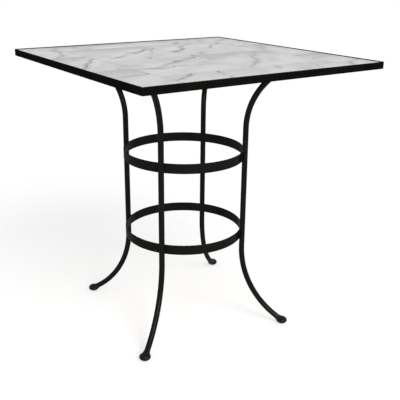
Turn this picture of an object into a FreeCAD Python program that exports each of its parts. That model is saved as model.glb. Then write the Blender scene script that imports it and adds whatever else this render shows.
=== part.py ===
import FreeCAD, Part
import os
import Sketcher
from FreeCAD import Placement, Rotation, Vector

# A pub table: a square tiled top in a steel angle rim, on a welded base of four flared
# round bars, two flat bands and four ball feet. Millimetres, +Z up. The origin is on the
# floor under the middle of the top, +X runs along the front edge and +Y to the back.

doc = FreeCAD.newDocument("pub_table")

# ---------------------------------------------------------------- driving dimensions
sizes = doc.addObject("Spreadsheet::Sheet", "sizes")
DRIVING = [
    ("table_height", 1075, "floor to the top edge of the rim, bar height"),
    ("top_side", 1016, "outside of the rim, square"),
    ("rim_height", 25.4, "upright leg of the steel angle"),
    ("rim_width", 25.4, "level leg of the steel angle, under the deck"),
    ("rim_thickness", 3.2, "wall of the steel angle"),
    ("rim_root_radius", 3, "inside corner of the rolled angle"),
    ("rim_edge_radius", 0.8, "worn edges of the rolled angle"),
    ("rim_corner_radius", 5, "upright corners of the rim, ground round"),
    ("rim_proud", 2.5, "height of the rim above the tiles"),
    ("deck_thickness", 12, "plywood deck"),
    ("deck_gap", 3.2, "between the deck and the rim, clear of the root radius"),
    ("tile_side", 355, "a whole porcelain tile"),
    ("tile_thickness", 6.5, "porcelain tile"),
    ("tile_joint", 2, "grout joint, between tiles and at the rim"),
    ("tile_edge", 0.6, "bevel on a tile's top edges"),
    ("grout_depth", 0.8, "grout below the tile faces"),
    ("cross_bar_width", 38, "flat bar under the deck"),
    ("cross_bar_offset", 127, "centre of a cross bar from the middle"),
    ("leg_bar", 22.2, "diameter of the round bar, 7/8 inch"),
    ("ring_diameter", 480, "outside of the rolled bands"),
    ("ring_height", 38, "width of the flat bar, on edge"),
    ("ring_thickness", 4, "thickness of the flat bar"),
    ("ring_edge", 0.8, "broken edges of the flat bar"),
    ("upper_ring_height", 698, "floor to the middle of the upper band"),
    ("lower_ring_height", 373, "floor to the middle of the lower band"),
    ("upper_bend_height", 816, "floor to the start of the upper flare"),
    ("upper_bend_radius", 260, "centreline of the upper flare"),
    ("upper_bend_angle", 72, "bent before the end is cut level"),
    ("lower_bend_radius", 350, "centreline of the lower flare"),
    ("base_turn", 8, "the base stands turned clockwise under the top, degrees"),
    ("base_shift", 30, "the base's own axis, to the left of the middle of the top"),
    ("foot_circle", 434, "middle of the base to the middle of a foot"),
    ("foot_diameter", 44, "ball foot, flattened"),
    ("foot_height", 27, "floor to the top of a foot"),
    ("foot_edge_radius", 9, "round edge of a foot"),
    ("foot_dome_radius", 27, "shallow domes above and below the round edge"),
    ("plate_length", 84, "mounting plate, across the leg"),
    ("plate_width", 56, "mounting plate, along the leg"),
    ("plate_thickness", 4, "mounting plate"),
    ("plate_corner", 8, "corner radius of a mounting plate"),
    ("screw_spacing", 60, "between the two holes of a mounting plate"),
    ("screw_hole", 5.4, "clearance hole in a mounting plate"),
    ("screw_shank", 4.8, "wood screw, and its pilot hole in the deck"),
    ("screw_grip", 9, "screw inside the deck"),
    ("screw_point", 3, "length of the screw's point"),
    ("screw_head", 9.6, "diameter of the pan head"),
    ("screw_head_height", 3.2, "pan head"),
]
for row, (alias, number, meaning) in enumerate(DRIVING, 1):
    sizes.set(f"A{row}", meaning)
    sizes.set(f"B{row}", str(number))
    sizes.setAlias(f"B{row}", alias)
doc.recompute()

# Places worked out from the driving dimensions, as expressions on the sheet.
HALF_TOP = "(sizes.top_side / 2)"
RIM_BOTTOM = "(sizes.table_height - sizes.rim_height)"
DECK_BOTTOM = "(sizes.table_height - sizes.rim_height + sizes.rim_thickness)"
DECK_HALF = "(sizes.top_side / 2 - sizes.rim_thickness - sizes.deck_gap)"
BED_BOTTOM = f"({DECK_BOTTOM} + sizes.deck_thickness)"
TILE_BOTTOM = "(sizes.table_height - sizes.rim_proud - sizes.tile_thickness)"
PLATE_BOTTOM = f"({DECK_BOTTOM} - sizes.plate_thickness)"
BAR_RADIUS = "(sizes.leg_bar / 2)"
LEG_CIRCLE = "((sizes.ring_diameter + sizes.leg_bar) / 2)"
FOOT_MIDDLE = "(sizes.foot_height / 2)"


def value(expression):
    """The plain number that an expression on the sheet gives."""
    result = sizes.evalExpression(expression)
    return getattr(result, "Value", result)


# Where the upper flare's centreline meets the underside of the mounting plates.
UPPER_RISE = f"({PLATE_BOTTOM} - sizes.upper_bend_height)"
PLATE_CIRCLE = (
    f"({LEG_CIRCLE} + sizes.upper_bend_radius"
    f" - sqrt(sizes.upper_bend_radius ^ 2 - {UPPER_RISE} ^ 2))"
)
# How far the lower flare drops from its start to the middle of the foot.
FOOT_REACH = f"(sizes.foot_circle - {LEG_CIRCLE})"
LOWER_DROP = f"sqrt(sizes.lower_bend_radius ^ 2 - (sizes.lower_bend_radius - {FOOT_REACH}) ^ 2)"
LOWER_BEND_HEIGHT = f"({FOOT_MIDDLE} + {LOWER_DROP})"


# ---------------------------------------------------------------- sketch and feature helpers
def new_body(label):
    body = doc.addObject("PartDesign::Body", label)
    body.Label = label
    return body


def new_sketch(body, role, height="0"):
    """A sketch on one of the body's own origin planes, raised by height along its normal."""
    plane = next(item for item in body.Origin.OriginFeatures if item.Role == role)
    sketch = body.newObject("Sketcher::SketchObject", body.Label + "_sketch")
    sketch.AttachmentSupport = (plane, "")
    sketch.MapMode = "FlatFace"
    sketch.setExpression("AttachmentOffset.Base.z", height)
    return sketch


def bind(sketch, kind, *where, to):
    """A dimension that follows an expression on the sheet."""
    index = sketch.addConstraint(Sketcher.Constraint(kind, *where, value(to)))
    sketch.setExpression(f"Constraints[{index}]", to)


def place_point(sketch, geometry, vertex, x, y):
    """Pins a point of the sketch to (x, y), both expressions."""
    for kind, axis, coordinate in (("DistanceX", -2, x), ("DistanceY", -1, y)):
        if coordinate == "0":
            sketch.addConstraint(Sketcher.Constraint("PointOnObject", geometry, vertex, axis))
        else:
            bind(sketch, kind, -1, 1, geometry, vertex, to=coordinate)


def circle(sketch, x, y, radius):
    centre = Vector(value(x), value(y), 0)
    index = sketch.addGeometry(Part.Circle(centre, Vector(0, 0, 1), value(radius)), False)
    place_point(sketch, index, 3, x, y)
    bind(sketch, "Radius", index, to=radius)


def outline(sketch, corners):
    """A closed outline. A corner is (x, y), reached by a line, or (x, y, radius, turn), reached by
    an arc that turns left (+1) or right (-1). The first corner is reached from the last."""
    points = [Vector(value(corner[0]), value(corner[1]), 0) for corner in corners]
    first = sketch.GeometryCount
    ends = []
    for number, corner in enumerate(corners):
        start = points[number - 1]
        end = points[number]
        if len(corner) == 2:
            index = sketch.addGeometry(Part.LineSegment(start, end), False)
            ends.append((index, 1, 2))
            continue
        radius = value(corner[2])
        turn = corner[3]
        chord = end - start
        side = Vector(-chord.y, chord.x, 0).normalize() * turn
        height = max(radius ** 2 - chord.Length ** 2 / 4, 0) ** 0.5
        centre = (start + end) * 0.5 + side * height
        low, high = (start, end) if turn > 0 else (end, start)
        full = Part.Circle(centre, Vector(0, 0, 1), radius)
        arc = Part.ArcOfCircle(full, full.parameter(low), full.parameter(high))
        index = sketch.addGeometry(arc, False)
        ends.append((index, 1, 2) if turn > 0 else (index, 2, 1))
        bind(sketch, "Radius", index, to=corner[2])
    for number, corner in enumerate(corners):
        index, _, last = ends[number]
        following, start_vertex, _ = ends[(number + 1) % len(corners)]
        sketch.addConstraint(Sketcher.Constraint("Coincident", index, last, following, start_vertex))
        place_point(sketch, index, last, corner[0], corner[1])
    return first


def rectangle(sketch, low_x, high_x, low_y, high_y):
    outline(sketch, [(low_x, low_y), (high_x, low_y), (high_x, high_y), (low_x, high_y)])


def feature(body, kind, sketch, **settings):
    """A feature on a sketch. A setting that is text is an expression."""
    made = body.newObject("PartDesign::" + kind, body.Label + "_" + kind.lower())
    made.Profile = sketch
    for name, setting in settings.items():
        if isinstance(setting, str):
            made.setExpression(name, setting)
        else:
            setattr(made, name, setting)
    sketch.Visibility = False
    return made


def turn_about_z(thing, angle):
    """Turns a finished sub-part about the table's upright axis; the angle is an expression."""
    thing.Placement = Placement(Vector(), Rotation(Vector(0, 0, 1), value(angle)))
    thing.setExpression("Placement.Rotation.Angle", angle)


def stand(piece, angle):
    """Turns a piece of the base about the base's own axis and moves it to its place."""
    turn_about_z(piece, angle)
    piece.setExpression("Placement.Base.x", "-sizes.base_shift")


def bevel(body, size, chosen):
    """Chamfers the edges of the body's tip for which chosen(edge) holds."""
    doc.recompute()
    tip = body.Tip
    names = [f"Edge{n}" for n, edge in enumerate(tip.Shape.Edges, 1) if chosen(edge)]
    chamfer = body.newObject("PartDesign::Chamfer", body.Label + "_chamfer")
    chamfer.Base = (tip, names)
    chamfer.setExpression("Size", size)


# ---------------------------------------------------------------- the rim
# Four lengths of rolled steel angle, mitred and welded at the corners. The upright leg is the
# black edge of the top, the level leg carries the deck.
def rim_bar(label, angle):
    body = new_body(label)
    profile = new_sketch(body, "YZ_Plane")
    outer = f"-{HALF_TOP}"
    inner = f"-{HALF_TOP} + sizes.rim_thickness"
    toe = f"-{HALF_TOP} + sizes.rim_width"
    shelf = DECK_BOTTOM
    edge = "sizes.rim_edge_radius"
    root = "sizes.rim_root_radius"
    outline(profile, [
        (outer, RIM_BOTTOM),
        (toe, RIM_BOTTOM),
        (toe, f"{shelf} - {edge}"),
        (f"{toe} - {edge}", shelf, edge, 1),
        (f"{inner} + {root}", shelf),
        (inner, f"{shelf} + {root}", root, -1),
        (inner, f"sizes.table_height - {edge}"),
        (f"{inner} - {edge}", "sizes.table_height", edge, 1),
        (f"{outer} + {edge}", "sizes.table_height"),
        (outer, f"sizes.table_height - {edge}", edge, 1),
    ])
    feature(body, "Pad", profile, Length="sizes.top_side", Midplane=True)

    # The mitre, with the outer upright corner ground round. The other end mirrors it.
    mitre = new_sketch(body, "XY_Plane", "sizes.table_height")
    spare = "sizes.rim_width"
    corner = "sizes.rim_corner_radius"
    on_mitre = f"-{HALF_TOP} + {corner} * (1 - cos(45 deg))"
    past_toe = f"-{HALF_TOP} + 2 * {spare}"
    outside = f"-{HALF_TOP} - {spare}"
    outline(mitre, [
        (on_mitre, on_mitre, corner, -1),
        (past_toe, past_toe),
        (outside, past_toe),
        (outside, outside),
        (f"-{HALF_TOP} + {corner}", outside),
        (f"-{HALF_TOP} + {corner}", f"-{HALF_TOP}"),
    ])
    cut = feature(body, "Pocket", mitre, Type=1)
    other_end = body.newObject("PartDesign::Mirrored", label + "_mirrored")
    other_end.Originals = [cut]
    side = next(item for item in body.Origin.OriginFeatures if item.Role == "YZ_Plane")
    other_end.MirrorPlane = (side, [""])
    body.Tip = other_end
    turn_about_z(body, angle)
    return body


rim = [
    rim_bar("rim_front", "0"),
    rim_bar("rim_right", "90"),
    rim_bar("rim_back", "180"),
    rim_bar("rim_left", "270"),
]


# ---------------------------------------------------------------- under the deck
# Two flat bars welded between the front and the back angle, level with their lower legs.
def cross_bar(label, side):
    body = new_body(label)
    middle = f"{side} * sizes.cross_bar_offset"
    sketch = new_sketch(body, "XY_Plane", RIM_BOTTOM)
    end = f"({HALF_TOP} - sizes.rim_width)"
    rectangle(sketch, f"{middle} - sizes.cross_bar_width / 2",
              f"{middle} + sizes.cross_bar_width / 2", f"-{end}", end)
    feature(body, "Pad", sketch, Length="sizes.rim_thickness")
    return body


cross_bars = [cross_bar("cross_bar_left", -1), cross_bar("cross_bar_right", 1)]

# The four legs stand at the quarters of the base, turned by base_turn. The top is laid on by
# eye, so the base is a little out of line with it and off its middle.
QUARTERS = [
    ("back_right", "45 - sizes.base_turn"),
    ("back_left", "135 - sizes.base_turn"),
    ("front_left", "225 - sizes.base_turn"),
    ("front_right", "315 - sizes.base_turn"),
]


def screw_places():
    """The eight screws as expressions (x, y): two to a mounting plate, across its leg."""
    places = []
    for _, angle in QUARTERS:
        for side in ("+", "-"):
            across = f"{side} sizes.screw_spacing / 2"
            x = f"{PLATE_CIRCLE} * cos(({angle}) * 1 deg) {across} * sin(({angle}) * 1 deg)"
            y = f"{PLATE_CIRCLE} * sin(({angle}) * 1 deg) - ({across}) * cos(({angle}) * 1 deg)"
            places.append((f"{x} - sizes.base_shift", y))
    return places


# Plywood deck, dropped into the rim, with blind pilot holes for the screws.
deck = new_body("deck")
deck_outline = new_sketch(deck, "XY_Plane", DECK_BOTTOM)
rectangle(deck_outline, f"-{DECK_HALF}", DECK_HALF, f"-{DECK_HALF}", DECK_HALF)
feature(deck, "Pad", deck_outline, Length="sizes.deck_thickness")
pilots = new_sketch(deck, "XY_Plane", DECK_BOTTOM)
for x, y in screw_places():
    circle(pilots, x, y, "sizes.screw_shank / 2")
feature(deck, "Pocket", pilots, Length="sizes.screw_grip + 0.5", Reversed=True)

# Thin bed of mortar that holds the tiles down.
mortar_bed = new_body("mortar_bed")
bed_outline = new_sketch(mortar_bed, "XY_Plane", BED_BOTTOM)
rectangle(bed_outline, f"-{DECK_HALF}", DECK_HALF, f"-{DECK_HALF}", DECK_HALF)
feature(mortar_bed, "Pad", bed_outline, Length=f"{TILE_BOTTOM} - {BED_BOTTOM}")

# ---------------------------------------------------------------- the tiles
# Whole tiles fill the middle, four of them about the centre point; cut tiles make up the edge.
# The two outer columns are laid half a tile out of step.
JOINT = "sizes.tile_joint"
SIDE = "sizes.tile_side"
FIELD_EDGE = f"({HALF_TOP} - sizes.rim_thickness - {JOINT})"
inner_span = (f"({JOINT} / 2)", f"({JOINT} / 2 + {SIDE})")
outer_span = (f"({JOINT} * 1.5 + {SIDE})", FIELD_EDGE)
middle_span = (f"-({SIDE} / 2)", f"({SIDE} / 2)")
end_span = (f"({SIDE} / 2 + {JOINT})", FIELD_EDGE)


def opposite(span):
    """The same stretch on the other side of the middle."""
    return (f"-{span[1]}", f"-{span[0]}")


COLUMNS = [
    ("left", opposite(outer_span), False),
    ("middle_left", opposite(inner_span), True),
    ("middle_right", inner_span, True),
    ("right", outer_span, False),
]
WHOLE_ROWS = [
    ("front", opposite(outer_span)),
    ("inner_front", opposite(inner_span)),
    ("inner_back", inner_span),
    ("back", outer_span),
]
STEPPED_ROWS = [
    ("front", opposite(end_span)),
    ("centre", middle_span),
    ("back", end_span),
]
TILES = []
for column, columns_span, whole in COLUMNS:
    for row_name, row_span in WHOLE_ROWS if whole else STEPPED_ROWS:
        TILES.append((f"tile_{column}_{row_name}", columns_span, row_span))


def on_top_face(edge):
    top = value(f"{TILE_BOTTOM} + sizes.tile_thickness")
    return all(abs(vertex.Z - top) < 0.001 for vertex in edge.Vertexes)


def tile(label, span_x, span_y):
    body = new_body(label)
    sketch = new_sketch(body, "XY_Plane", TILE_BOTTOM)
    rectangle(sketch, *span_x, *span_y)
    feature(body, "Pad", sketch, Length="sizes.tile_thickness")
    bevel(body, "sizes.tile_edge", on_top_face)
    return body


tiles = [tile(*place) for place in TILES]

# The grout is one lattice that fills every joint, a little below the tile faces.
grout = new_body("grout")
grout_outline = new_sketch(grout, "XY_Plane", TILE_BOTTOM)
grout_edge = f"({HALF_TOP} - sizes.rim_thickness)"
rectangle(grout_outline, f"-{grout_edge}", grout_edge, f"-{grout_edge}", grout_edge)
feature(grout, "Pad", grout_outline, Length="sizes.tile_thickness - sizes.grout_depth")
tile_spaces = new_sketch(grout, "XY_Plane", TILE_BOTTOM)
for _, span_x, span_y in TILES:
    rectangle(tile_spaces, *span_x, *span_y)
feature(grout, "Pocket", tile_spaces, Length="sizes.tile_thickness", Reversed=True)


# ---------------------------------------------------------------- the base
# A flat bar rolled on the flat into a band and welded closed. The legs stand against its
# outside.
def ring(label, height):
    body = new_body(label)
    sketch = new_sketch(body, "XY_Plane", f"{height} - sizes.ring_height / 2")
    circle(sketch, "0", "0", "sizes.ring_diameter / 2")
    circle(sketch, "0", "0", "sizes.ring_diameter / 2 - sizes.ring_thickness")
    feature(body, "Pad", sketch, Length="sizes.ring_height")
    bevel(body, "sizes.ring_edge", lambda edge: edge.isClosed())
    stand(body, "0")
    return body


rings = [
    ring("upper_ring", "sizes.upper_ring_height"),
    ring("lower_ring", "sizes.lower_ring_height"),
]


# The half section of a ball foot: a dome, a round edge and a dome, tangent to each other, cut
# off level at the floor and at the top. Lengths from the foot's own axis and from the floor.
EDGE_CENTRE = "(sizes.foot_diameter / 2 - sizes.foot_edge_radius)"
CENTRE_GAP = "(sizes.foot_dome_radius - sizes.foot_edge_radius)"
DOME_LIFT = f"sqrt({CENTRE_GAP} ^ 2 - {EDGE_CENTRE} ^ 2)"
FOOT_FLAT = f"sqrt(sizes.foot_dome_radius ^ 2 - ({FOOT_MIDDLE} + {DOME_LIFT}) ^ 2)"
TANGENT_OUT = f"({EDGE_CENTRE} * sizes.foot_dome_radius / {CENTRE_GAP})"
TANGENT_DROP = f"({DOME_LIFT} * sizes.foot_edge_radius / {CENTRE_GAP})"
FOOT_PROFILE = [
    ("0", "0"),
    (FOOT_FLAT, "0"),
    (TANGENT_OUT, f"{FOOT_MIDDLE} - {TANGENT_DROP}", "sizes.foot_dome_radius", 1),
    (TANGENT_OUT, f"{FOOT_MIDDLE} + {TANGENT_DROP}", "sizes.foot_edge_radius", 1),
    (FOOT_FLAT, "sizes.foot_height", "sizes.foot_dome_radius", 1),
    ("0", "sizes.foot_height"),
]


def shifted(corners, distance):
    """The same outline moved along the sketch's x."""
    return [(f"{corner[0]} + {distance}", *corner[1:]) for corner in corners]


def axis_line(sketch, x):
    """An upright construction line at x, to turn a profile about."""
    place = value(x)
    line = Part.LineSegment(Vector(place, 0, 0), Vector(place, 100, 0))
    index = sketch.addGeometry(line, True)
    place_point(sketch, index, 1, x, "0")
    sketch.addConstraint(Sketcher.Constraint("Vertical", index))
    sketch.addConstraint(Sketcher.Constraint("DistanceY", index, 1, index, 2, 100))
    return (sketch, ["Axis0"])


# Each leg is one round bar, bent outward at both ends in one upright plane. The upper end is
# cut level under its mounting plate and the lower end is coped to its ball foot.
def leg(label, angle):
    body = new_body(label)
    shaft = new_sketch(body, "XY_Plane", LOWER_BEND_HEIGHT)
    circle(shaft, LEG_CIRCLE, "0", BAR_RADIUS)
    feature(body, "Pad", shaft, Length=f"sizes.upper_bend_height - {LOWER_BEND_HEIGHT}")

    flare = new_sketch(body, "XY_Plane", "sizes.upper_bend_height")
    circle(flare, LEG_CIRCLE, "0", BAR_RADIUS)
    bend_axis = axis_line(flare, f"{LEG_CIRCLE} + sizes.upper_bend_radius")
    feature(body, "Revolution", flare, ReferenceAxis=bend_axis, Angle="sizes.upper_bend_angle")

    sweep = new_sketch(body, "XY_Plane", LOWER_BEND_HEIGHT)
    circle(sweep, LEG_CIRCLE, "0", BAR_RADIUS)
    bend_axis = axis_line(sweep, f"{LEG_CIRCLE} + sizes.lower_bend_radius")
    feature(body, "Revolution", sweep, ReferenceAxis=bend_axis, Reversed=True,
            Angle=f"asin({LOWER_DROP} / sizes.lower_bend_radius)")

    level_cut = new_sketch(body, "XY_Plane", PLATE_BOTTOM)
    reach = f"({LEG_CIRCLE} + sizes.upper_bend_radius)"
    rectangle(level_cut, LEG_CIRCLE, reach, "-sizes.leg_bar", "sizes.leg_bar")
    feature(body, "Pocket", level_cut, Length="sizes.plate_width", Reversed=True)

    cope = new_sketch(body, "XZ_Plane")
    outline(cope, shifted(FOOT_PROFILE, "sizes.foot_circle"))
    foot_axis = axis_line(cope, "sizes.foot_circle")
    feature(body, "Groove", cope, ReferenceAxis=foot_axis, Angle=360)
    stand(body, angle)
    return body


# A forged ball foot, flattened, with a small flat that stands on the floor.
def foot(label, angle):
    body = new_body(label)
    sketch = new_sketch(body, "XZ_Plane")
    outline(sketch, shifted(FOOT_PROFILE, "sizes.foot_circle"))
    foot_axis = axis_line(sketch, "sizes.foot_circle")
    feature(body, "Revolution", sketch, ReferenceAxis=foot_axis, Angle=360)
    stand(body, angle)
    return body


# A steel plate welded across a leg's upper end, screwed up into the deck.
def mounting_plate(label, angle):
    body = new_body(label)
    sketch = new_sketch(body, "XY_Plane", PLATE_BOTTOM)
    low_x = f"{PLATE_CIRCLE} - sizes.plate_width / 2"
    high_x = f"{PLATE_CIRCLE} + sizes.plate_width / 2"
    high_y = "sizes.plate_length / 2"
    low_y = f"-{high_y}"
    corner = "sizes.plate_corner"
    outline(sketch, [
        (f"{low_x} + {corner}", low_y, corner, 1),
        (f"{high_x} - {corner}", low_y),
        (high_x, f"{low_y} + {corner}", corner, 1),
        (high_x, f"{high_y} - {corner}"),
        (f"{high_x} - {corner}", high_y, corner, 1),
        (f"{low_x} + {corner}", high_y),
        (low_x, f"{high_y} - {corner}", corner, 1),
        (low_x, f"{low_y} + {corner}"),
    ])
    feature(body, "Pad", sketch, Length="sizes.plate_thickness")
    holes = new_sketch(body, "XY_Plane", PLATE_BOTTOM)
    for side in ("", "-"):
        circle(holes, PLATE_CIRCLE, f"{side}sizes.screw_spacing / 2", "sizes.screw_hole / 2")
    feature(body, "Pocket", holes, Length="sizes.plate_thickness", Reversed=True)
    stand(body, angle)
    return body


legs = []
feet = []
plates = []
for quarter, angle in QUARTERS:
    legs.append(leg("leg_" + quarter, angle))
    feet.append(foot("foot_" + quarter, angle))
    plates.append(mounting_plate("mounting_plate_" + quarter, angle))

# One pan-head wood screw about the Z axis, its head seated at z = 0, and the eight places
# where it holds the mounting plates to the deck.
screw = new_body("screw_pattern")
screw_section = new_sketch(screw, "XZ_Plane")
shank = "(sizes.screw_shank / 2)"
head = "(sizes.screw_head / 2)"
head_drop = "sizes.screw_head_height"
shank_end = "(sizes.plate_thickness + sizes.screw_grip)"
dome = f"({head} ^ 2 + {head_drop} ^ 2) / (2 * {head_drop})"
outline(screw_section, [
    ("0", shank_end),
    ("0", f"-{head_drop}"),
    (head, "0", dome, 1),
    (shank, "0"),
    (shank, f"{shank_end} - sizes.screw_point"),
])
feature(screw, "Revolution", screw_section, ReferenceAxis=(screw_section, ["V_Axis"]), Angle=360)
doc.recompute()

mounting_screws = doc.addObject("Part::Feature", "mounting_screws")
mounting_screws.Label = "mounting_screws"
copies = []
for x, y in screw_places():
    one = screw.Shape.copy()
    one.translate(Vector(value(x), value(y), value(PLATE_BOTTOM)))
    copies.append(one)
mounting_screws.Shape = Part.makeCompound(copies)

# ---------------------------------------------------------------- check and write
doc.recompute()
parts = rim + cross_bars + [deck, mortar_bed, grout] + tiles
parts += rings + legs + feet + plates + [mounting_screws]

for item in doc.Objects:
    if {"Invalid", "Error"} & set(item.State):
        raise RuntimeError(f"{item.Label} did not build: {item.State}")
for piece in parts:
    if piece.Shape.isNull() or not piece.Shape.isValid() or not piece.Shape.Solids:
        raise RuntimeError(f"{piece.Label} has no valid solid")

os.makedirs("parts", exist_ok=True)
for piece in parts:
    piece.Shape.exportStep(f"parts/{piece.Label}.step")
    solids = len(piece.Shape.Solids)
    print(f"{piece.Label:34s} {solids} solid(s) {piece.Shape.Volume / 1000:10.1f} cm3")
print(f"{len(parts)} sub-parts written")
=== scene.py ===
import bpy
from math import asin, atan2, cos, degrees, radians, sin, sqrt
from mathutils import Matrix, Vector


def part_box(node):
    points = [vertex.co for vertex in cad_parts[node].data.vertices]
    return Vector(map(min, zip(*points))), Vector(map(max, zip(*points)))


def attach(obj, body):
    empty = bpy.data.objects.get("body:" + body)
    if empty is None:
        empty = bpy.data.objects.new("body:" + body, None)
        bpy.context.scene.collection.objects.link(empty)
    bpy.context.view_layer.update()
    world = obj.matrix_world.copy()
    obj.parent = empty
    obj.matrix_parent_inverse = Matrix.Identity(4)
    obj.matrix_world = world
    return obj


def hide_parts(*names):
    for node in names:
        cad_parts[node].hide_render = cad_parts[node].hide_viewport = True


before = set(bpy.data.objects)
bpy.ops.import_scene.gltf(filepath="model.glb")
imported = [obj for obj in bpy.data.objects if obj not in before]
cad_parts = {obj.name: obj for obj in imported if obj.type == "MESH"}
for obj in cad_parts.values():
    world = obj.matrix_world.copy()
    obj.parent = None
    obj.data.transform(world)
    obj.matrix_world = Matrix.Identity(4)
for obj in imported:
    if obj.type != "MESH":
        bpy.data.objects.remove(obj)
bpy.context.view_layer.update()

# ------------------------------------------------------------------ studio
# A wide pale floor under a white dome, a large softbox high in front, and beside the camera a
# round lamp that draws a soft streak along the bends of the black bars. The camera looks down
# on the table's front left corner.
white = (1, 1, 1, 1)
floor_white = (0.985, 0.985, 0.985, 1)
floor_size = 160
floor_glow = 1.09
glow_share = 0.55
dome_light = 0.62
dome_shown = 1.0


def feed(tree, node, feeds):
    """Gives each named input of the node a link, where the feed is a socket, or a value."""
    for name, source in feeds.items():
        if isinstance(source, bpy.types.NodeSocket):
            tree.links.new(source, node.inputs[name])
        else:
            node.inputs[name].default_value = source


def lay(tree, kind, feeds=None, **settings):
    """Adds a node with its settings, and feeds its inputs."""
    node = tree.nodes.new(kind)
    for name, setting in settings.items():
        setattr(node, name, setting)
    feed(tree, node, feeds or {})
    return node


def reckon(tree, operation, *terms, clamp=False):
    """The result of a Math node."""
    node = lay(tree, "ShaderNodeMath", dict(enumerate(terms)), operation=operation)
    node.use_clamp = clamp
    return node.outputs[0]


def product(tree, *factors):
    """The factors multiplied together."""
    result = factors[0]
    for factor in factors[1:]:
        result = reckon(tree, "MULTIPLY", result, factor)
    return result


def ramp(tree, value, low, high, low_to=0.0, high_to=1.0, smooth=True):
    """Value spread from the range low..high to low_to..high_to, and held at its ends."""
    return lay(tree, "ShaderNodeMapRange", {
        "Value": value, "From Min": low, "From Max": high, "To Min": low_to, "To Max": high_to,
    }, interpolation_type="SMOOTHSTEP" if smooth else "LINEAR").outputs["Result"]


def shown(tree):
    """1 for what is looked at, also in a reflection or through glass, and 0 for light."""
    ray = lay(tree, "ShaderNodeLightPath").outputs
    looked_at = reckon(tree, "ADD", ray["Is Camera Ray"], ray["Is Glossy Ray"])
    return reckon(tree, "ADD", looked_at, ray["Is Transmission Ray"], clamp=True)


dome = bpy.data.worlds.new("dome")
bpy.context.scene.world = dome
dome.use_nodes = True
tree = dome.node_tree
tree.nodes.clear()
dome_strength = ramp(tree, shown(tree), 0, 1, dome_light, dome_shown, smooth=False)
sky = lay(tree, "ShaderNodeBackground", {"Color": white, "Strength": dome_strength})
lay(tree, "ShaderNodeOutputWorld", {"Surface": sky.outputs[0]})

bpy.ops.object.select_all(action="DESELECT")
bpy.ops.mesh.primitive_plane_add(size=floor_size)
floor = bpy.context.object
floor.name = "floor"
floor_paint = bpy.data.materials.new("floor_paint")
floor_paint.use_nodes = True
tree = floor_paint.node_tree
tree.nodes.clear()
matte = lay(tree, "ShaderNodeBsdfDiffuse", {"Color": floor_white})
glow = lay(tree, "ShaderNodeEmission", {"Color": white, "Strength": floor_glow})
pale = lay(tree, "ShaderNodeMixShader", {
    0: product(tree, shown(tree), glow_share), 1: matte.outputs[0], 2: glow.outputs[0],
})
lay(tree, "ShaderNodeOutputMaterial", {"Surface": pale.outputs[0]})
floor.data.materials.append(floor_paint)


def hang_lamp(name, kind, place, aim, energy):
    """A lamp at place, turned to shine at aim."""
    bpy.ops.object.light_add(type=kind, location=place)
    lamp = bpy.context.object
    lamp.name = name
    lamp.data.energy = energy
    lamp.rotation_euler = (Vector(aim) - lamp.location).to_track_quat("-Z", "Y").to_euler()
    return lamp


softbox = hang_lamp("softbox", "SUN", place=(0.2, -3.0, 2.8), aim=(0, 0, 0), energy=1.37)
softbox.data.angle = radians(30)
round_lamp = hang_lamp("round_lamp", "AREA", place=(-1.0, -3.1, 1.32), aim=(0, 0, 0.6), energy=44)
round_lamp.data.shape = "DISK"
round_lamp.data.size = 1.1
round_lamp.visible_camera = False

camera_place = (-1.3844, -2.0342, 1.3873)
camera_heading = -35.224
camera_dip = 20.133
camera_roll = 0.703
bpy.ops.object.camera_add()
camera = bpy.context.object
camera.data.sensor_width = 36
camera.data.lens = 56.943
camera.data.clip_end = 300
camera.matrix_world = (
    Matrix.Translation(camera_place)
    @ Matrix.Rotation(radians(camera_heading), 4, "Z")
    @ Matrix.Rotation(radians(90 - camera_dip), 4, "X")
    @ Matrix.Rotation(radians(camera_roll), 4, "Z")
)
bpy.context.scene.camera = camera
bpy.context.scene.view_settings.view_transform = "Standard"

# ------------------------------------------------------------------ rim
# Four lengths of 25 mm steel angle, mitred and welded, the corners ground round, with black paint
# over them. It stands 2.5 mm above the tiles, and its top edge is rubbed, lighter also as a painted
# edge highlight.
FLOAT = "NodeSocketFloat"
COLOR = "NodeSocketColor"


def start_group(name, sockets):
    """A node group with its input sockets, and what they are given, by name."""
    group = bpy.data.node_groups.new(name, "ShaderNodeTree")
    for title, kind, default in sockets:
        socket = group.interface.new_socket(name=title, in_out="INPUT", socket_type=kind)
        socket.default_value = default
    return group, group.nodes.new("NodeGroupInput").outputs


def end_group(group, results):
    """Names the group's outputs and links them."""
    out = group.nodes.new("NodeGroupOutput")
    for title, kind, socket in results:
        group.interface.new_socket(name=title, in_out="OUTPUT", socket_type=kind)
        group.links.new(socket, out.inputs[title])


def point(tree):
    """The place of the point that is being coloured, in metres."""
    return lay(tree, "ShaderNodeTexCoord").outputs["Object"]


def noise(tree, at, scale, detail=3.0, seed=0.0, rough=0.5, channel="Fac"):
    """Four-dimensional noise, whose fourth coordinate picks the pattern."""
    return lay(tree, "ShaderNodeTexNoise", {
        "Vector": at, "W": seed, "Scale": scale, "Detail": detail, "Roughness": rough,
    }, noise_dimensions="4D").outputs[channel]


def blend(tree, share, first, second, mode="MIX"):
    """Two colours mixed by share."""
    return lay(tree, "ShaderNodeMix", {0: share, 6: first, 7: second},
               data_type="RGBA", blend_type=mode).outputs[2]
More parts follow.
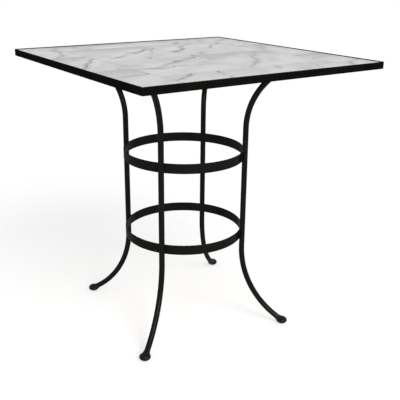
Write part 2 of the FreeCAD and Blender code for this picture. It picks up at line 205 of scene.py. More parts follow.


# Black paint on steel: orange peel, soft mottling, a little dust on what faces up that is also a
# painted highlight there, shallow hammer marks where wanted, and edges where the coat has thinned,
# which along the rim's top is also a painted edge highlight.
black_coat, given = start_group("black_coat", [
    ("Paint", COLOR, (0.0050, 0.0045, 0.0038, 1)),
    ("Rubbed_And_Highlight", FLOAT, 0.0),
    ("Peel", FLOAT, 1.0),
    ("Hammer", FLOAT, 0.0),
    ("Dust", FLOAT, 0.3),
    ("Gloss", FLOAT, 0.4),
    ("Sheen", FLOAT, 0.14),
])
dark_mottle = (0.68, 0.69, 0.71, 1)
light_mottle = (1.38, 1.35, 1.30, 1)
dust_and_highlight_tint = (0.045, 0.042, 0.037, 1)
# The colour of a thinned coat, which on the rim's top edge is also a painted edge highlight.
worn_and_highlight_tint = (0.050, 0.046, 0.042, 1)
peel_height = 0.00012
dent_depth = 0.0020
spot = point(black_coat)
mottle = noise(black_coat, spot, scale=17, detail=4, seed=1.3, rough=0.6)
fine = noise(black_coat, spot, scale=620, detail=2, seed=4.1)
speck = noise(black_coat, spot, scale=260, detail=3, seed=9.7, rough=0.7)
dents = lay(black_coat, "ShaderNodeTexVoronoi", {
    "Vector": spot, "Scale": 75.0, "Smoothness": 0.8,
}, feature="SMOOTH_F1").outputs["Distance"]
facing = lay(black_coat, "ShaderNodeSeparateXYZ", {
    0: lay(black_coat, "ShaderNodeNewGeometry").outputs["Normal"],
}).outputs["Z"]
# Dust on the upward faces, lighter also as a painted highlight there.
dust_and_highlight = product(black_coat, ramp(black_coat, facing, 0.35, 0.95),
                ramp(black_coat, speck, 0.46, 0.66), given["Dust"])
# Where the coat is rubbed thin, lighter also as a painted edge highlight along the rim's top.
thin_and_highlight = product(black_coat, given["Rubbed_And_Highlight"], ramp(black_coat, speck, 0.38, 0.62))
grain = reckon(black_coat, "MULTIPLY_ADD", reckon(black_coat, "SUBTRACT", fine, 0.5), 1.1, mottle)
tone = blend(black_coat, ramp(black_coat, grain, 0.3, 0.7), dark_mottle, light_mottle)
coat = blend(black_coat, 1.0, given["Paint"], tone, "MULTIPLY")
# The dust colour on what faces up, which also paints a highlight there.
coat = blend(black_coat, dust_and_highlight, coat, dust_and_highlight_tint)
coat = blend(black_coat, thin_and_highlight, coat, worn_and_highlight_tint)
gloss = reckon(black_coat, "ADD", given["Gloss"],
               ramp(black_coat, mottle, 0.25, 0.75, -0.07, 0.09))
gloss = reckon(black_coat, "ADD", gloss, product(black_coat, dust_and_highlight, 0.35))
clean = reckon(black_coat, "SUBTRACT", 1.0, reckon(black_coat, "MAXIMUM", dust_and_highlight, thin_and_highlight))
sheen = product(black_coat, ramp(black_coat, grain, 0.3, 0.7, 1.4, 0.6, smooth=False),
                given["Sheen"], clean)
height = reckon(black_coat, "ADD", product(black_coat, fine, given["Peel"], peel_height),
                product(black_coat, given["Hammer"], dent_depth, dents))
end_group(black_coat, [
    ("Color", COLOR, coat),
    ("Roughness", FLOAT, gloss),
    ("Sheen", FLOAT, sheen),
    ("Height", FLOAT, height),
])

# Where hands, shoes or the floor rub an edge, and along the rim's top also a painted edge
# highlight: 1 on the edge, falling to 0 at reach from it.
edge_wear_and_highlight, given = start_group("edge_wear_and_highlight", [
    ("Up", FLOAT, 0.0),
    ("Edge Up", FLOAT, 0.0),
    ("Out", FLOAT, 0.0),
    ("Edge Out", FLOAT, 0.0),
    ("Reach", FLOAT, 0.0014),
])
close = []
for way in ("Up", "Out"):
    gap = reckon(edge_wear_and_highlight, "SUBTRACT", given[way], given["Edge " + way])
    gap = reckon(edge_wear_and_highlight, "DIVIDE", reckon(edge_wear_and_highlight, "ABSOLUTE", gap), given["Reach"])
    close.append(ramp(edge_wear_and_highlight, gap, 0, 1, 1, 0))
end_group(edge_wear_and_highlight, [("Rubbed_And_Highlight", FLOAT, product(edge_wear_and_highlight, *close))])


def rub_edge(tree, **feeds):
    """The edge wear of one edge, which along the rim's top is also a painted edge highlight. Its
    inputs are given by name, with _ for each space.
    """
    named = {title.replace("_", " "): source for title, source in feeds.items()}
    return lay(tree, "ShaderNodeGroup", named, node_tree=edge_wear_and_highlight).outputs["Rubbed_And_Highlight"]


def new_material(name):
    """A node material, its tree and its shader."""
    material = bpy.data.materials.new(name)
    material.use_nodes = True
    tree = material.node_tree
    return material, tree, tree.nodes["Principled BSDF"]


def relief(tree, height, strength=1.0, distance=1.0):
    """The normal of a surface that stands up by height."""
    return lay(tree, "ShaderNodeBump", {
        "Height": height, "Strength": strength, "Distance": distance,
    }).outputs["Normal"]


def paint_black(name, wear_and_highlight=None, **values):
    """Black paint. Wear is given the tree and the place, and returns where the coat is thin, which
    on the rim's top edge is also a painted edge highlight.
    """
    material, tree, shader = new_material(name)
    rubbed = 0.0
    if wear_and_highlight:
        place = lay(tree, "ShaderNodeSeparateXYZ", {0: point(tree)}).outputs
        rubbed = wear_and_highlight(tree, place["X"], place["Y"], place["Z"])
    coat = lay(tree, "ShaderNodeGroup", {**values, "Rubbed_And_Highlight": rubbed}, node_tree=black_coat).outputs
    feed(tree, shader, {
        "Base Color": coat["Color"],
        "Roughness": coat["Roughness"],
        "Coat Weight": coat["Sheen"],
        "Coat Roughness": 0.20,
        "Specular IOR Level": 0.0,
        "Normal": relief(tree, coat["Height"]),
    })
    return material


def wear_it(node_name, material):
    """Gives a part of the frame the material, in each of its slots."""
    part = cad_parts[node_name]
    if not part.data.materials:
        part.data.materials.append(material)
    for place in range(len(part.data.materials)):
        part.data.materials[place] = material


rim_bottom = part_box("rim_front")[0][2]
rim_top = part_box("rim_front")[1][2]
half_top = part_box("rim_right")[1][0]


def rim_wear_and_highlight(tree, x, y, z):
    """The outer edge along the top, where sleeves and cloths rub, lightened also as a painted edge
    highlight.
    """
    out = reckon(tree, "MAXIMUM", reckon(tree, "ABSOLUTE", x), reckon(tree, "ABSOLUTE", y))
    return rub_edge(tree, Up=z, Edge_Up=rim_top, Out=out, Edge_Out=half_top)


# The rim's top edge is worn lighter, partly as a painted edge highlight.
rim_paint = paint_black("rim_paint", rim_wear_and_highlight, Paint=(0.0040, 0.0035, 0.0030, 1), Gloss=0.38,
                        Peel=1.0, Dust=0.15, Sheen=0.012)
for side in ("front", "right", "back", "left"):
    wear_it("rim_" + side, rim_paint)

# A bead's rings have this many sides. The dabs of metal follow each other by this many radii,
# and each is four rings, every one this much wider or narrower than the last.
bead_sides = 12
dab_pitch = 1.6
RIPPLE = (1.16, 1.06, 0.94, 0.865)
# The run starts blunt, at a share of its radius, swells at once and draws in at its end.
blunt_start = 0.55
first_swell = 1.55
last_draw = 0.62


def weld_bead(name, length, radius):
    """A run of weld along +Z from the origin. Each dab of metal leaves a ripple."""
    dabs = max(round(length / (radius * dab_pitch)), 3)
    growths = list(RIPPLE) * dabs
    growths[0] *= first_swell
    growths[-1] *= last_draw
    step = length / dabs / len(RIPPLE)
    bpy.ops.object.select_all(action="DESELECT")
    bpy.ops.mesh.primitive_circle_add(vertices=bead_sides, radius=radius * blunt_start,
                                      fill_type="NGON")
    bead = bpy.context.object
    bead.name = name
    bpy.ops.object.mode_set(mode="EDIT")
    bpy.ops.mesh.select_all(action="SELECT")
    rise = 0.0
    for growth in growths:
        rise += step
        bpy.ops.mesh.extrude_region_move(TRANSFORM_OT_translate={"value": (0, 0, step)})
        bpy.ops.transform.resize(value=(growth, growth, 1), center_override=(0, 0, rise))
    bpy.ops.mesh.select_all(action="SELECT")
    bpy.ops.mesh.normals_make_consistent(inside=False)
    bpy.ops.object.mode_set(mode="OBJECT")
    bpy.ops.object.shade_smooth()
    return bead


def lay_down(bead, start, heading=0):
    """Lays a run of weld level from start, so many degrees from +X, and half as high as wide."""
    bead.data.transform(
        Matrix.Translation(start)
        @ Matrix.Diagonal((1, 1, 0.5, 1))
        @ Matrix.Rotation(radians(heading), 4, "Z")
        @ Matrix.Rotation(radians(90), 4, "Y")
    )


def copy_to(piece, name, place):
    """A copy with its own mesh, moved by the matrix place."""
    twin = piece.copy()
    twin.data = piece.data.copy()
    twin.name = name
    twin.data.transform(place)
    bpy.context.collection.objects.link(twin)
    return twin


def about_middle(angle):
    """A turn about the upright axis through the middle of the top, in degrees."""
    return Matrix.Rotation(radians(angle), 4, "Z")


def weld_on(bead, paint):
    """Finishes a weld as part of the table."""
    bead.data.materials.append(paint)
    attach(bead, "root")


mitre_run = 0.028
mitre_bead = 0.0022
mitre_inset = 0.0055
weld_paint = paint_black("weld_paint", Gloss=0.42, Peel=2.0, Dust=0.1, Sheen=0.12)
mitre = weld_bead("weld_mitre", mitre_run, mitre_bead)
lay_down(mitre, (-half_top + mitre_inset, -half_top + mitre_inset, rim_bottom), heading=45)
CORNERS = {"front_left": 0, "front_right": 90, "back_right": 180, "back_left": 270}
for corner, angle in CORNERS.items():
    weld_on(copy_to(mitre, "weld_rim_" + corner, about_middle(angle)), weld_paint)
bpy.data.objects.remove(mitre)

# ------------------------------------------------------------------ cross bars
# Two flat steel bars, 38 by 3 mm, under the deck. They lie level with the rim's lower leg and
# are welded to it at both ends, with a short bead across the joint.
bar_bead = 0.002
bar_inset = 0.003
bar_paint = paint_black("bar_paint", Gloss=0.45, Peel=1.2, Dust=0.0, Sheen=0.08)
for side in ("left", "right"):
    bar = "cross_bar_" + side
    wear_it(bar, bar_paint)
    low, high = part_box(bar)
    for end, edge in (("front", low[1]), ("back", high[1])):
        bead = weld_bead(f"weld_{bar}_{end}", high[0] - low[0] - 2 * bar_inset, bar_bead)
        lay_down(bead, (low[0] + bar_inset, edge, low[2]))
        weld_on(bead, weld_paint)

# ------------------------------------------------------------------ deck
# A 12 mm plywood sheet dropped into the rim. Only its underside shows: rotary-cut veneer with
# long grain, some dark pores and a few knots.
pale_wood = (0.46, 0.30, 0.16, 1)
dark_wood = (0.33, 0.19, 0.090, 1)
pore_tint = (0.20, 0.11, 0.05, 1)
knot_tint = (0.09, 0.045, 0.02, 1)
stain_tint = (0.25, 0.17, 0.10, 1)


def stretch(tree, at, scale):
    """The place drawn out along or across the grain."""
    return lay(tree, "ShaderNodeMapping", {"Vector": at, "Scale": scale}).outputs[0]


plywood, tree, shader = new_material("plywood")
spot = point(tree)
knots = lay(tree, "ShaderNodeTexVoronoi", {
    "Vector": stretch(tree, spot, (4.6, 2.1, 1.0)), "Scale": 1.0, "Randomness": 1.0,
}, feature="F1").outputs["Distance"]
pull = ramp(tree, knots, 0.0, 0.28, 1, 0)
waves = noise(tree, stretch(tree, spot, (14.0, 1.1, 4.0)), scale=1.0, detail=3, seed=2.0)
bands = reckon(tree, "ADD", product(tree, waves, 13.0), product(tree, pull, 2.4))
rings = reckon(tree, "MULTIPLY_ADD", reckon(tree, "SINE", product(tree, bands, 2.6)), 0.5, 0.5)
fibre = noise(tree, stretch(tree, spot, (420.0, 14.0, 60.0)), scale=1.0, detail=2)
stain = noise(tree, spot, scale=3.0, detail=4, seed=6.0)
veneer = blend(tree, rings, pale_wood, dark_wood)
veneer = blend(tree, ramp(tree, fibre, 0.52, 0.75, 0, 0.45), veneer, pore_tint)
veneer = blend(tree, ramp(tree, knots, 0.015, 0.06, 0.85, 0), veneer, knot_tint)
veneer = blend(tree, ramp(tree, stain, 0.45, 0.75, 0, 0.3), veneer, stain_tint)
feed(tree, shader, {
    "Base Color": veneer,
    "Roughness": ramp(tree, fibre, 0.3, 0.7, 0.62, 0.8),
    "Specular IOR Level": 0.25,
    "Normal": relief(tree, fibre, strength=0.5, distance=0.0004),
})
wear_it("deck", plywood)

# ------------------------------------------------------------------ mortar bed
# A thin bed of grey cement mortar, combed on to the deck. The tiles are pressed into it while
# it is wet, and cover it.

# Cement with sand in it, stained here and there.
cement, given = start_group("cement", [
    ("Paste", COLOR, (0.25, 0.25, 0.24, 1)),
    ("Sand", COLOR, (0.36, 0.355, 0.34, 1)),
    ("Stain", COLOR, (0.2, 0.2, 0.2, 1)),
    ("Stained", FLOAT, 0.0),
    ("Fineness", FLOAT, 900.0),
    ("Relief", FLOAT, 0.0003),
])
spot = point(cement)
sand = noise(cement, spot, scale=given["Fineness"], detail=3, rough=0.7)
tone = blend(cement, ramp(cement, sand, 0.3, 0.7), given["Paste"], given["Sand"])
wet = ramp(cement, noise(cement, spot, scale=9, detail=4, seed=3.0, rough=0.6), 0.45, 0.7)
tone = blend(cement, product(cement, wet, given["Stained"]), tone, given["Stain"])
end_group(cement, [
    ("Color", COLOR, tone),
    ("Height", FLOAT, product(cement, sand, given["Relief"])),
])


def mix_cement(name, roughness, **values):
    """A cement of its own sand and colours."""
    material, tree, shader = new_material(name)
    mix = lay(tree, "ShaderNodeGroup", values, node_tree=cement).outputs
    feed(tree, shader, {
        "Base Color": mix["Color"],
        "Roughness": roughness,
        "Normal": relief(tree, mix["Height"]),
    })
    return material


wear_it("mortar_bed", mix_cement("mortar", 0.9))

# ------------------------------------------------------------------ tiles
# Glazed porcelain, 355 mm whole, printed like a white and grey marble: soft grey clouds, an
# angular net of thin veins, and heavier veins with tan and rust along them. Each is cut and
# laid with its print at its own place.
stone, given = start_group("stone_print", [
    ("Centre X", FLOAT, 0.0),
    ("Centre Y", FLOAT, 0.0),
    ("Far Edge", FLOAT, 0.1),
    ("Turn", FLOAT, 0.0),
    ("Seed", FLOAT, 0.0),
    ("Vein A", FLOAT, 0.0),
    ("Vein B", FLOAT, 0.1),
    ("Slant B", FLOAT, 0.4),
    ("Bold", FLOAT, 1.0),
    ("Rust", FLOAT, 0.5),
    ("Shade", FLOAT, 0.5),
])
light_ground = (0.588, 0.587, 0.585, 1)
cloud_grey = (0.478, 0.479, 0.484, 1)
edge_grey = (0.290, 0.292, 0.300, 1)
smoke_grey = (0.34, 0.34, 0.345, 1)
cream_tint = (0.55, 0.525, 0.475, 1)
halo_grey = (0.27, 0.27, 0.278, 1)
halo_tan = (0.31, 0.258, 0.215, 1)
hairline_grey = (0.22, 0.215, 0.215, 1)
core_grey = (0.080, 0.076, 0.076, 1)
core_rust = (0.130, 0.078, 0.055, 1)
# how far each vein and the shading along it reach from its middle, in metres
vein_a_reach = 0.0052
vein_b_reach = 0.0040
halo_a_reach = 0.030
halo_b_reach = 0.022
braid_reach = 0.026
cream_reach = 0.085
pit_depth = 0.00003
vein_depth = 0.00008


def reckon_place(tree, operation, *terms):
    """The result of a Vector Math node."""
    node = lay(tree, "ShaderNodeVectorMath", dict(enumerate(terms)), operation=operation)
    return node.outputs[0]


def drift(tree, at, scale, reach, seed, detail):
    """The place moved about by noise, by up to half of reach."""
    cloud = noise(tree, at, scale, detail, seed, rough=0.55, channel="Color")
    off = reckon_place(tree, "SUBTRACT", cloud, (0.5, 0.5, 0.5))
    return reckon_place(tree, "MULTIPLY_ADD", off, (reach, reach, 0.0), at)


spot = point(stone)
seed = given["Seed"]
centre = lay(stone, "ShaderNodeCombineXYZ", {
    "X": given["Centre X"], "Y": given["Centre Y"],
}).outputs[0]
local = reckon_place(stone, "SUBTRACT", spot, centre)
level = reckon_place(stone, "MULTIPLY", local, (1.0, 1.0, 0.0))
turned = lay(stone, "ShaderNodeVectorRotate", {"Vector": level, "Angle": given["Turn"]},
             rotation_type="Z_AXIS").outputs[0]
bent = drift(stone, turned, 4.0, 0.16, seed, 1)
jagged = drift(stone, bent, 17.0, 0.075, seed, 2)
crooked = drift(stone, jagged, 75.0, 0.014, seed, 3)
axes = lay(stone, "ShaderNodeSeparateXYZ", {0: crooked}).outputs
wander = noise(stone, turned, scale=7.0, detail=2, seed=seed)
breaks = noise(stone, turned, scale=26.0, detail=3, seed=seed, rough=0.6)
warmth = noise(stone, level, scale=11.0, detail=2, seed=seed)


def near(gap, reach, inner=0.0):
    """1 on a vein and up to inner from it, falling to 0 at reach from it."""
    return ramp(stone, reckon(stone, "ABSOLUTE", gap), inner, reach, 1, 0)


def vein(offset, slant, reach, present):
    """The signed distance from a long crack at offset, and its broken dark core."""
    lean = reckon(stone, "MULTIPLY_ADD", axes["Y"], slant, axes["X"])
    gap = reckon(stone, "SUBTRACT", lean, offset)
    half = product(stone, ramp(stone, breaks, 0.34, 0.66, 0.12, 2.7), reach)
    line = ramp(stone, reckon(stone, "DIVIDE", reckon(stone, "ABSOLUTE", gap), half), 0.1, 1, 1, 0)
    return gap, product(stone, line, present)


strong = product(stone, ramp(stone, wander, 0.33, 0.50), given["Bold"])
weak = product(stone, ramp(stone, wander, 0.60, 0.44), given["Bold"])
gap_a, core_a = vein(given["Vein A"], 0.0, vein_a_reach, strong)
gap_b, core_b = vein(given["Vein B"], given["Slant B"], vein_b_reach, weak)
braid = reckon(stone, "MULTIPLY_ADD", reckon(stone, "SUBTRACT", breaks, 0.47), 0.13, gap_a)
braid = product(stone, near(braid, 0.0032, inner=0.0003),
                ramp(stone, warmth, 0.40, 0.58, 0.0, 0.85), near(gap_a, braid_reach, inner=0.012))
core = reckon(stone, "MAXIMUM", core_a, core_b)
core = reckon(stone, "MAXIMUM", core, product(stone, braid, strong))
halo = reckon(stone, "MAXIMUM", product(stone, near(gap_a, halo_a_reach), strong),
              product(stone, near(gap_b, halo_b_reach), weak))
cream = product(stone, ramp(stone, gap_a, 0.0, 0.010), ramp(stone, gap_a, cream_reach, 0.012))
net = lay(stone, "ShaderNodeTexVoronoi", {"Vector": jagged, "W": seed, "Scale": 4.6},
          feature="DISTANCE_TO_EDGE", voronoi_dimensions="4D").outputs["Distance"]
hairline = product(stone, ramp(stone, net, 0.0, 0.009, 1, 0), ramp(stone, wander, 0.50, 0.62))
smoke = product(stone, ramp(stone, net, 0.0, 0.20, 1, 0), ramp(stone, wander, 0.5, 0.7))
wisps = noise(stone, stretch(stone, bent, (11.0, 3.2, 1.0)), scale=1.0, seed=seed, rough=0.55)
north = lay(stone, "ShaderNodeSeparateXYZ", {0: spot}).outputs["Y"]
behind = reckon(stone, "SUBTRACT", given["Far Edge"], north)
fade = ramp(stone, wisps, 0.3, 0.7, 0.10, 0.19, smooth=False)
edge_shade = ramp(stone, reckon(stone, "DIVIDE", behind, fade), 0.0, 1.0, 1, 0)
edge_shade = product(stone, edge_shade, given["Shade"])

warm = product(stone, ramp(stone, warmth, 0.42, 0.58), given["Rust"])
halo_tint = blend(stone, warm, halo_grey, halo_tan)
core_tint = blend(stone, warm, core_grey, core_rust)
print_color = blend(stone, ramp(stone, wisps, 0.35, 0.66), light_ground, cloud_grey)
for mask, tint in (
    (product(stone, edge_shade, 0.9), edge_grey),
    (product(stone, smoke, 0.55), smoke_grey),
    (product(stone, cream, warm, 0.50), cream_tint),
    (product(stone, halo, 0.85), halo_tint),
    (product(stone, hairline, 0.65), hairline_grey),
    (product(stone, core, 0.9), core_tint),
):
    print_color = blend(stone, mask, print_color, tint)
pits = noise(stone, spot, scale=240, detail=3, seed=seed, rough=0.6)
glaze = reckon(stone, "ADD", ramp(stone, pits, 0.3, 0.7, 0.30, 0.36), product(stone, core, 0.06))
sink = reckon(stone, "SUBTRACT", product(stone, pits, pit_depth), product(stone, core, vein_depth))
end_group(stone, [
    ("Color", COLOR, print_color),
    ("Roughness", FLOAT, glaze),
    ("Height", FLOAT, sink),
])

# column, row: turn of the veins in degrees, pattern, the places of two veins in mm, slant of
# the second, boldness, rust, shade at the far edge
PRINTS = {
    ("left", "front"): (56, 3.1, 105, -40, -0.4, 0.9, 1.0, 0.9),
    ("left", "centre"): (32, 7.7, 0, -80, 0.5, 0.8, 1.0, 0.9),
    ("left", "back"): (27, 12.2, 24, 90, 0.4, 0.6, 0.9, 0.4),
    ("middle_left", "front"): (56, 5.3, -105, 30, 0.5, 1.0, 1.0, 0.3),
    ("middle_left", "inner_front"): (64, 9.9, -40, 40, -0.7, 0.8, 0.5, 0.2),
    ("middle_left", "inner_back"): (53, 1.4, 26, 110, 0.4, 1.0, 1.0, 0.9),
    ("middle_left", "back"): (30, 15.8, 160, -90, 0.5, 0.5, 0.3, 0.9),
    ("middle_right", "front"): (48, 21.3, -92, 90, 0.5, 0.6, 0.9, 0.3),
    ("middle_right", "inner_front"): (41, 44.6, -20, -120, -0.9, 0.6, 0.8, 0.9),
    ("middle_right", "inner_back"): (38, 25.1, -97, 28, -0.15, 0.9, 0.9, 0.6),
    ("middle_right", "back"): (38, 28.4, 56, 150, 0.3, 0.9, 0.9, 0.6),
    ("right", "front"): (45, 31.9, 70, -70, -0.5, 0.5, 0.2, 1.0),
    ("right", "centre"): (32, 34.2, -50, 60, 0.5, 0.4, 0.4, 0.8),
    ("right", "back"): (45, 37.5, -35, 60, 0.4, 0.5, 0.8, 0.5),
}
for (column, row), values in PRINTS.items():
    turn, pattern, vein_a, vein_b, slant, bold, rust, shade = values
    name = f"tile_{column}_{row}"
    low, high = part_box(name)
    glazed, tree, shader = new_material("print_" + name)
    printed = lay(tree, "ShaderNodeGroup", {
        "Centre X": (low[0] + high[0]) / 2,
        "Centre Y": (low[1] + high[1]) / 2,
        "Far Edge": high[1],
        "Turn": radians(turn),
        "Seed": pattern,
        "Vein A": vein_a / 1000,
        "Vein B": vein_b / 1000,
        "Slant B": slant,
        "Bold": bold,
        "Rust": rust,
        "Shade": shade,
    }, node_tree=stone).outputs
    feed(tree, shader, {
        "Base Color": printed["Color"],
        "Roughness": printed["Roughness"],
        "Specular IOR Level": 0.35,
        "Normal": relief(tree, printed["Height"]),
    })
    wear_it(name, glazed)

# ------------------------------------------------------------------ grout
# Pale grey cement grout, pressed into the joints between the tiles and along the rim, and
# wiped a little below their faces. It is sandy and slightly stained.
grout_cement = mix_cement("grout_cement", 0.85, Paste=(0.68, 0.677, 0.67, 1),
                          Sand=(0.78, 0.777, 0.77, 1), Stain=(0.55, 0.535, 0.51, 1),
                          Stained=0.4, Fineness=1500.0, Relief=0.0002)
wear_it("grout", grout_cement)

# ------------------------------------------------------------------ bands
# Two flat steel bars, 38 by 4 mm, rolled into rings of 480 mm and welded closed on the inside.
# The paint is rubbed thin on their upper and lower edges.
band_radius = 0.240
band_edges = [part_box(name)[end][2] for name in ("upper_ring", "lower_ring") for end in (0, 1)]
base_middle = (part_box("upper_ring")[0][0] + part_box("upper_ring")[1][0]) / 2


def about_base(angle):
    """A turn about the base's own axis, from a place given from that axis, in degrees."""
    return Matrix.Translation((base_middle, 0, 0)) @ about_middle(angle)


def band_wear(tree, x, y, z):
    """The outer corners of the bands, where shoes rest."""
    from_axis = lay(tree, "ShaderNodeCombineXYZ", {
        "X": reckon(tree, "SUBTRACT", x, base_middle), "Y": y,
    }).outputs[0]
    out = lay(tree, "ShaderNodeVectorMath", {0: from_axis}, operation="LENGTH").outputs["Value"]
    rubbed = 0.0
    for edge in band_edges:
        corner = rub_edge(tree, Up=z, Edge_Up=edge, Out=out, Edge_Out=band_radius)
        rubbed = reckon(tree, "MAXIMUM", rubbed, corner)
    return rubbed


seam_angle = 82
seam_bead = 0.0016
seam_inset = 0.001
seam_depth = 0.0042
band_paint = paint_black("band_paint", band_wear, Gloss=0.47, Peel=1.5, Hammer=0.3, Dust=0.3,
                         Sheen=0.10)
for name in ("upper_ring", "lower_ring"):
    wear_it(name, band_paint)
    low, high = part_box(name)
    seam = weld_bead("weld_seam_" + name, high[2] - low[2] - 2 * seam_inset, seam_bead)
    seam.data.transform(
        about_base(seam_angle)
        @ Matrix.Translation((high[0] - base_middle - seam_depth, 0, low[2] + seam_inset))
        @ Matrix.Diagonal((0.5, 1.5, 1, 1))
    )
    weld_on(seam, weld_paint)

# ------------------------------------------------------------------ legs
# Four 22 mm round steel bars, cold bent at head and foot, standing against the outside of the
# bands. A bead runs down each side of the bar where it meets a band.
QUARTERS = {"back_right": 37, "back_left": 127, "front_left": 217, "front_right": 307}
bar_radius = 0.0111
leg_circle = band_radius + bar_radius
leg_paint = paint_black("leg_paint", Paint=(0.0035, 0.0032, 0.0027, 1), Gloss=0.47, Peel=1.5,
                        Hammer=0.55, Dust=0.15, Sheen=0.155)
for quarter in QUARTERS:
    wear_it("leg_" + quarter, leg_paint)

# The bead fills the corner between bar and band, most of it standing out of both. Its angle
# from the leg comes from the triangle of the base's axis, the bar and the bead.
leg_bead = 0.0026
run_inset = 0.0015
standing_out = 0.6 * leg_bead
to_bar = bar_radius + standing_out
to_band = band_radius + standing_out
spread = (to_band ** 2 + leg_circle ** 2 - to_bar ** 2) / (2 * to_band * leg_circle)
aside = degrees(atan2(sqrt(1 - spread ** 2), spread))
for name in ("upper_ring", "lower_ring"):
    low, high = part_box(name)
    run = weld_bead("weld_run", high[2] - low[2] - 2 * run_inset, leg_bead)
    for quarter, angle in QUARTERS.items():
        for hand, swing in (("a", aside), ("b", -aside)):
            corner = Matrix.Translation((to_band, 0, low[2] + run_inset))
            bead = copy_to(run, f"weld_{name}_{quarter}_{hand}", about_base(angle + swing) @ corner)
            weld_on(bead, weld_paint)
    bpy.data.objects.remove(run)

# ------------------------------------------------------------------ feet
# Forged balls, flattened, coped on to the bars' ends and welded all round, the weld dressed
# to a smooth fillet. The underside is scuffed to bare metal where it slides on the floor.
scuff_reach = 0.006


def foot_wear(tree, x, y, z):
    """The underside, where the feet are dragged over the floor."""
    return rub_edge(tree, Up=z, Edge_Up=0.0, Reach=scuff_reach)


# The dust on the feet's upper sides is partly a painted highlight.
foot_paint = paint_black("foot_paint", foot_wear, Gloss=0.42, Peel=1.5, Hammer=0.7, Dust=0.3,
                         Sheen=0.22)
for quarter in QUARTERS:
    wear_it("foot_" + quarter, foot_paint)

lower_bend_radius = 0.350
foot_circle = 0.434
foot_middle = 0.0135
flare = foot_circle - leg_circle
bend_end = asin(sqrt(lower_bend_radius ** 2 - (lower_bend_radius - flare) ** 2)
                / lower_bend_radius)


def along_bend(back, lean):
    """The bar's centre at a distance back from the foot's middle, and its slope less lean."""
    angle = bend_end - back / lower_bend_radius
    x = foot_circle + lower_bend_radius * (cos(bend_end) - cos(angle))
    z = foot_middle + lower_bend_radius * (sin(bend_end) - sin(angle))
    return Vector((x, 0, z)), angle - radians(lean)


# rings of the fillet: distance back along the bar, radius, lean towards the level in degrees
FILLET = [
    (0.0290, 0.0107, 4), (0.0300, 0.01117, 5), (0.0260, 0.01133, 9), (0.0225, 0.01180, 15),
    (0.0195, 0.01265, 20), (0.0170, 0.01370, 24), (0.0145, 0.01440, 27), (0.0125, 0.01370, 27),
    (0.0105, 0.0110, 27),
]
fillet_sides = 48
back, was_radius, lean = FILLET[0]
was_middle, was_slope = along_bend(back, lean)
bpy.ops.object.select_all(action="DESELECT")
bpy.ops.mesh.primitive_circle_add(vertices=fillet_sides, radius=was_radius, fill_type="NGON",
                                  location=was_middle, rotation=(0, -was_slope, 0))
fillet = bpy.context.object
fillet.name = "weld_foot"
bpy.ops.object.transform_apply(location=True, rotation=True, scale=True)
bpy.ops.object.mode_set(mode="EDIT")
bpy.ops.mesh.select_all(action="SELECT")
for back, radius, lean in FILLET[1:]:
    middle, slope = along_bend(back, lean)
    growth = radius / was_radius
    bpy.ops.mesh.extrude_region_move(TRANSFORM_OT_translate={"value": middle - was_middle})
    bpy.ops.transform.rotate(value=slope - was_slope, orient_axis="Y", center_override=middle)
    bpy.ops.transform.resize(value=(growth, growth, growth), center_override=middle)
    was_middle, was_slope, was_radius = middle, slope, radius
bpy.ops.mesh.select_all(action="SELECT")
bpy.ops.mesh.normals_make_consistent(inside=False)
bpy.ops.object.mode_set(mode="OBJECT")
bpy.ops.object.shade_smooth_by_angle(angle=radians(40))
for quarter, angle in QUARTERS.items():
    weld = copy_to(fillet, "weld_foot_" + quarter, about_base(angle))
    weld_on(weld, foot_paint)
bpy.data.objects.remove(fillet)

# ------------------------------------------------------------------ mounting plates
# Flat steel plates welded level across the bars' upper ends, two holes in each. The weld runs
# round the slanting end of the bar in a long oval, in ripples like the straight beads.
upper_bend_radius = 0.260
upper_bend_height = 0.816
plate_paint = paint_black("plate_paint", Gloss=0.47, Peel=1.5, Dust=0.0, Sheen=0.08)
plate_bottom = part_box("mounting_plate_back_right")[0][2]
slant = asin((plate_bottom - upper_bend_height) / upper_bend_radius)
plate_circle = leg_circle + upper_bend_radius * (1 - cos(slant))


def pick(piece, kind, wanted):
    """Goes into edit mode with those faces, edges or vertices selected that are wanted."""
    bpy.ops.object.mode_set(mode="EDIT")
    bpy.ops.mesh.select_all(action="DESELECT")
    bpy.ops.object.mode_set(mode="OBJECT")
    for element in getattr(piece.data, kind):
        element.select = wanted(element)
    bpy.ops.object.mode_set(mode="EDIT")


# The oval starts as a thin wire, is fattened evenly and then by a ripple on every other pair
# of its rings.
oval_rings = 96
wire_radius = 0.0003
ripple_height = 0.0006
oval_drop = 0.0004
bpy.ops.object.select_all(action="DESELECT")
bpy.ops.mesh.primitive_torus_add(major_segments=oval_rings, minor_segments=bead_sides,
                                 major_radius=bar_radius, minor_radius=wire_radius)
oval = bpy.context.object
oval.name = "weld_plate"
oval.data.transform(
    Matrix.Translation((plate_circle, 0, plate_bottom - oval_drop))
    @ Matrix.Diagonal((1 / cos(slant), 1, 1, 1))
)
bpy.ops.object.mode_set(mode="EDIT")
bpy.ops.mesh.select_all(action="SELECT")
bpy.ops.transform.shrink_fatten(value=leg_bead - ripple_height - wire_radius)
pick(oval, "vertices", lambda vertex: vertex.index // bead_sides % 4 < 2)
bpy.ops.transform.shrink_fatten(value=ripple_height)
bpy.ops.object.mode_set(mode="OBJECT")
bpy.ops.object.shade_smooth()
for quarter, angle in QUARTERS.items():
    wear_it("mounting_plate_" + quarter, plate_paint)
    weld = copy_to(oval, "weld_plate_" + quarter, about_base(angle))
    weld_on(weld, weld_paint)
bpy.data.objects.remove(oval)

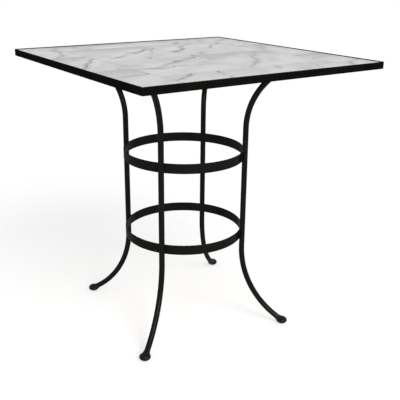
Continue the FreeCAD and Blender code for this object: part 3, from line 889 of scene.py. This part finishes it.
# ------------------------------------------------------------------ mounting screws
# Zinc-plated steel wood screws with a pan head and a cross recess, two to a plate, driven up
# through its holes into the deck. Each stops at a turn of its own.
light_zinc = (0.42, 0.41, 0.39, 1)
dull_zinc = (0.25, 0.24, 0.23, 1)
zinc, tree, shader = new_material("zinc")
bloom = noise(tree, point(tree), scale=420, detail=4, rough=0.6)
feed(tree, shader, {
    "Base Color": blend(tree, ramp(tree, bloom, 0.35, 0.7), light_zinc, dull_zinc),
    "Roughness": ramp(tree, bloom, 0.3, 0.7, 0.32, 0.52),
    "Metallic": 1.0,
})

# The head hangs below the origin, and the shank and its point stand above.
head_radius = 0.0048
head_height = 0.0032
head_round = 0.0019
shank_radius = 0.0024
shank_length = 0.0098
point_length = 0.0030
point_share = 0.1
bpy.ops.object.select_all(action="DESELECT")
bpy.ops.mesh.primitive_cylinder_add(vertices=40, radius=head_radius, depth=head_height,
                                    location=(0, 0, -head_height / 2))
screw = bpy.context.object
screw.name = "screw"
bpy.ops.object.transform_apply(location=True, rotation=True, scale=True)


def below(edge):
    """Whether an edge is on the underside of the head."""
    return all(screw.data.vertices[end].co.z < -head_round for end in edge.vertices)


pick(screw, "edges", below)
bpy.ops.mesh.bevel(offset=head_round, segments=5, profile=0.6)
pick(screw, "polygons", lambda face: face.normal.z > 0.9)
bpy.ops.mesh.inset(thickness=head_radius - shank_radius)
bpy.ops.mesh.extrude_region_move(TRANSFORM_OT_translate={"value": (0, 0, shank_length)})
bpy.ops.mesh.extrude_region_move(TRANSFORM_OT_translate={"value": (0, 0, point_length)})
bpy.ops.transform.resize(value=(point_share, point_share, 1),
                         center_override=(0, 0, shank_length + point_length))
bpy.ops.object.mode_set(mode="OBJECT")

# The recess is cut by two crossed blades, each narrower towards its floor.
blade_size = (0.0052, 0.0010, 0.0030)
blade_taper = (0.35, 0.6, 1)
recess_floor = -0.0015
for turn in (0, 90):
    bpy.ops.object.select_all(action="DESELECT")
    bpy.ops.mesh.primitive_cube_add(size=1, location=(0, 0, recess_floor - blade_size[2] / 2),
                                    rotation=(0, 0, radians(turn)))
    blade = bpy.context.object
    blade.scale = blade_size
    pick(blade, "polygons", lambda face: face.normal.z > 0.9)
    bpy.ops.transform.resize(value=blade_taper, orient_type="LOCAL",
                             center_override=(0, 0, recess_floor))
    bpy.ops.object.mode_set(mode="OBJECT")
    bpy.context.view_layer.objects.active = screw
    recess = screw.modifiers.new("recess", "BOOLEAN")
    recess.operation = "DIFFERENCE"
    recess.object = blade
    bpy.ops.object.modifier_apply(modifier="recess")
    bpy.data.objects.remove(blade)
bpy.ops.object.select_all(action="DESELECT")
screw.select_set(True)
bpy.context.view_layer.objects.active = screw
bpy.ops.object.shade_smooth_by_angle(angle=radians(35))

screw_spacing = 0.060
first_turn = 25
turn_step = 40
driven = []
for quarter, angle in QUARTERS.items():
    for side in (1, -1):
        hole = Matrix.Translation((plate_circle, side * screw_spacing / 2, plate_bottom))
        stop = about_middle(first_turn + turn_step * len(driven))
        place = about_base(angle) @ hole @ stop
        driven.append(copy_to(screw, f"screw_{quarter}_{len(driven)}", place))
bpy.data.objects.remove(screw)
bpy.ops.object.select_all(action="DESELECT")
for one in driven:
    one.select_set(True)
bpy.context.view_layer.objects.active = driven[0]
bpy.ops.object.join()
screw_set = bpy.context.object
screw_set.name = "plate_screws"
screw_set.data.materials.append(zinc)
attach(screw_set, "root")
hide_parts("mounting_screws")

# ------------------------------------------------------------------ update
# The scene is brought up to date.
bpy.context.view_layer.update()
